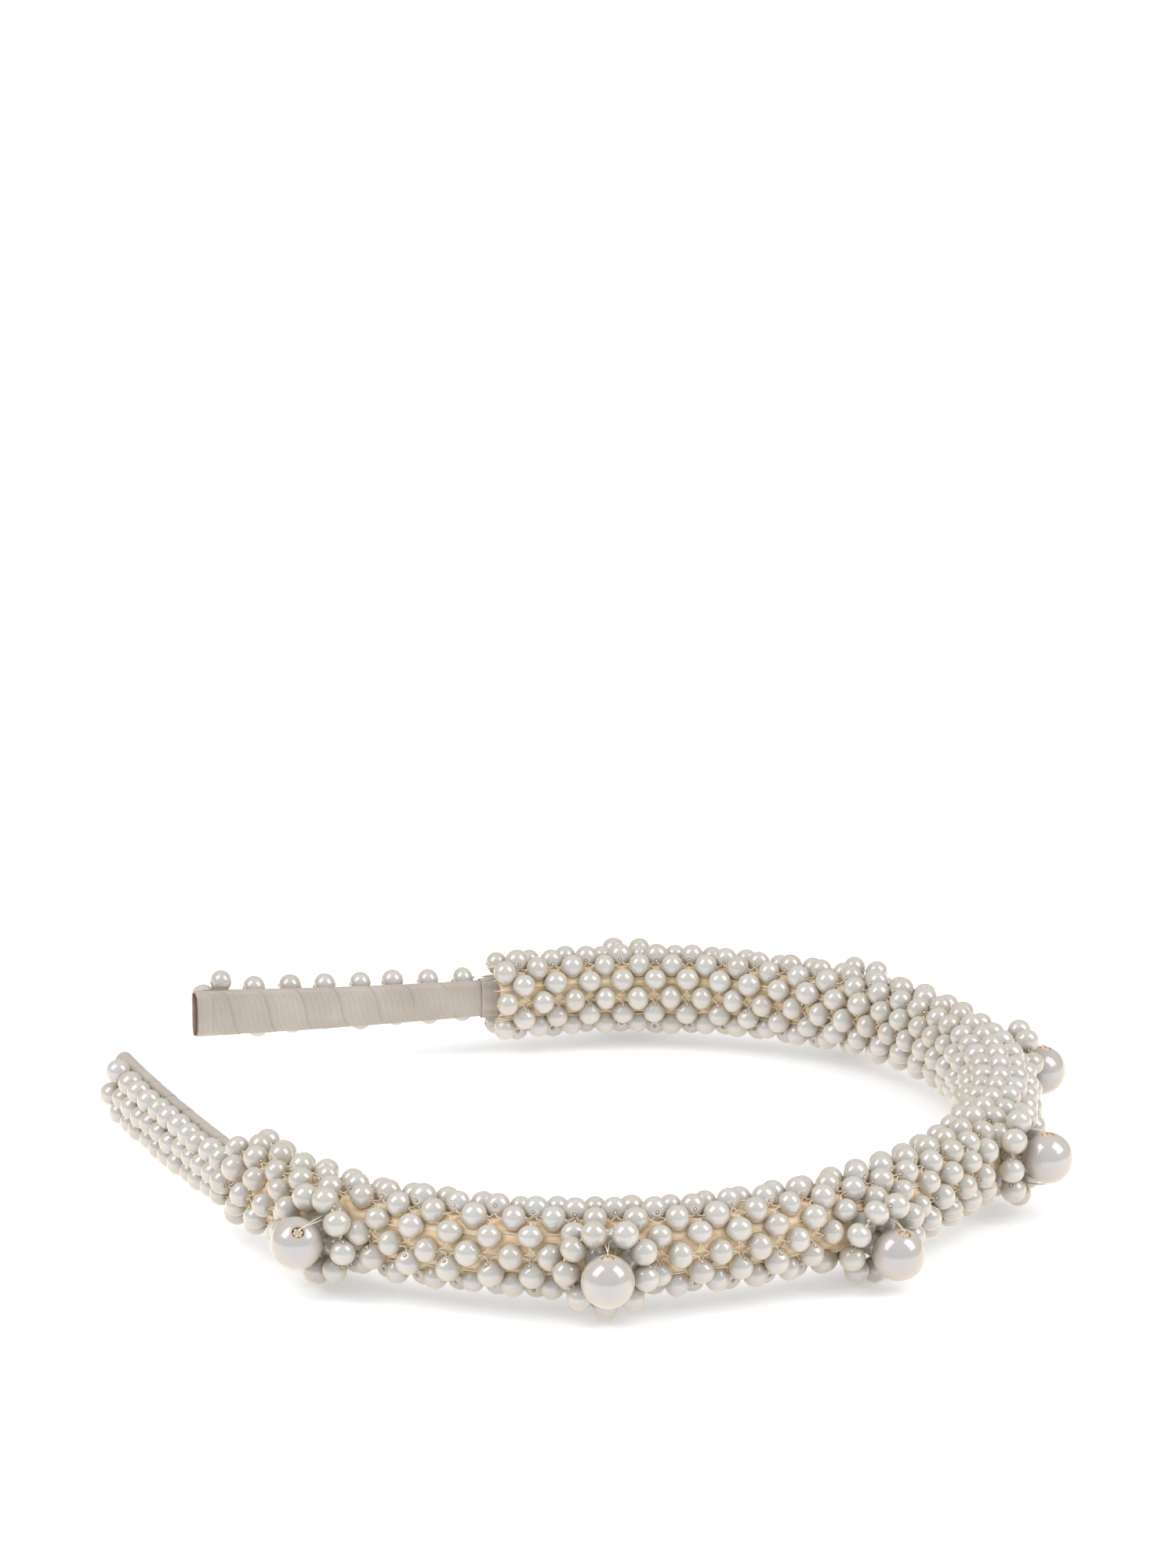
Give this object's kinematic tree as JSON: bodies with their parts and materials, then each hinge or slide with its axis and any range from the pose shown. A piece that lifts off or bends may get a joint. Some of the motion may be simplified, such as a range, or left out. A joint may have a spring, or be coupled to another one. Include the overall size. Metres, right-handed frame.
{
  "type": "headband",
  "caption": "Padded springy headband sleeved in a woven net of small pearl beads, with large pearls set along it and ribbon-wrapped tips.",
  "frame": {"origin": "middle of the footprint at the lowest point, with the headband lying on its side", "axes": "+Z across the band; +X from the open end towards the crown; +Y towards the left arm"},
  "size_m": [0.1602, 0.1584, 0.0183],
  "materials": {
    "large_pearl": "lustrous ivory pearl coat",
    "small_bead": "lustrous ivory pearl coat",
    "satin": "tan satin",
    "foam": "soft open foam",
    "ribbon": "beige satin ribbon",
    "spring_band": "plain spring strip",
    "thread": "clear white beading thread"
  },
  "bodies": {
    "crown": {"core_band_crown": "spring_band", "foam_padding_crown": "foam", "satin_cover_crown": "satin", "bead_net_crown": "small_bead", "pearl_ring_crown": "small_bead", "pearl_thread_crown": "thread"},
    "left_arm": {"core_band_left": "spring_band", "foam_padding_left": "foam", "satin_cover_left": "satin", "bead_net_left": "small_bead", "ribbon_wrap_left": "ribbon", "ribbon_gather_left": "ribbon", "ribbon_end_left": "ribbon", "bead_strip_left": "small_bead", "pearl_ring_left_1": "small_bead", "pearl_thread_left_1": "thread", "pearl_ring_left_2": "small_bead", "pearl_thread_left_2": "thread", "pearl_ring_left_3": "small_bead", "pearl_thread_left_3": "thread"},
    "right_arm": {"core_band_right": "spring_band", "foam_padding_right": "foam", "satin_cover_right": "satin", "bead_net_right": "small_bead", "ribbon_wrap_right": "ribbon", "ribbon_gather_right": "ribbon", "ribbon_end_right": "ribbon", "bead_strip_right": "small_bead", "pearl_ring_right_1": "small_bead", "pearl_thread_right_1": "thread", "pearl_ring_right_2": "small_bead", "pearl_thread_right_2": "thread", "pearl_ring_right_3": "small_bead", "pearl_thread_right_3": "thread"},
    "pearl_right_3": {"pearl_right_3": "large_pearl"},
    "pearl_right_2": {"pearl_right_2": "large_pearl"},
    "pearl_right_1": {"pearl_right_1": "large_pearl"},
    "pearl_crown": {"pearl_crown": "large_pearl"},
    "pearl_left_1": {"pearl_left_1": "large_pearl"},
    "pearl_left_2": {"pearl_left_2": "large_pearl"},
    "pearl_left_3": {"pearl_left_3": "large_pearl"}
  },
  "joints": [
    {"name": "left_arm_flex", "type": "hinge", "parent": "crown", "child": "left_arm", "pos_m": [0.06215, 0.01983, 0.00989], "axis": [0, 0, -1], "range_deg": [-3, 12], "stiffness_Nm_per_rad": 0.95},
    {"name": "right_arm_flex", "type": "hinge", "parent": "crown", "child": "right_arm", "pos_m": [0.06215, -0.02065, 0.00989], "axis": [0, 0, 1], "range_deg": [-3, 12], "stiffness_Nm_per_rad": 0.95},
    {"name": "pearl_right_3_turn", "type": "hinge", "parent": "right_arm", "child": "pearl_right_3", "pos_m": [-0.01846, -0.07523, 0.00901], "axis": [0.3578, -0.6309, 0.6884], "continuous": true},
    {"name": "pearl_right_2_turn", "type": "hinge", "parent": "right_arm", "child": "pearl_right_2", "pos_m": [0.03075, -0.07362, 0.00853], "axis": [0.0473, -0.1123, 0.9925], "continuous": true},
    {"name": "pearl_right_1_turn", "type": "hinge", "parent": "right_arm", "child": "pearl_right_1", "pos_m": [0.06507, -0.04114, 0.00615], "axis": [0.2925, -0.1608, 0.9426], "continuous": true},
    {"name": "pearl_crown_turn", "type": "hinge", "parent": "crown", "child": "pearl_crown", "pos_m": [0.07617, -0.00041, 0.00989], "axis": [0, 0, 1], "continuous": true},
    {"name": "pearl_left_1_turn", "type": "hinge", "parent": "left_arm", "child": "pearl_left_1", "pos_m": [0.06091, 0.04801, 0.00814], "axis": [0.1286, 0.089, 0.9877], "continuous": true},
    {"name": "pearl_left_2_turn", "type": "hinge", "parent": "left_arm", "child": "pearl_left_2", "pos_m": [0.02409, 0.07523, 0.00872], "axis": [0.0304, 0.1, 0.9945], "continuous": true},
    {"name": "pearl_left_3_turn", "type": "hinge", "parent": "left_arm", "child": "pearl_left_3", "pos_m": [-0.02146, 0.0732, 0.00833], "axis": [-0.0519, 0.1291, 0.9903], "continuous": true}
  ]
}
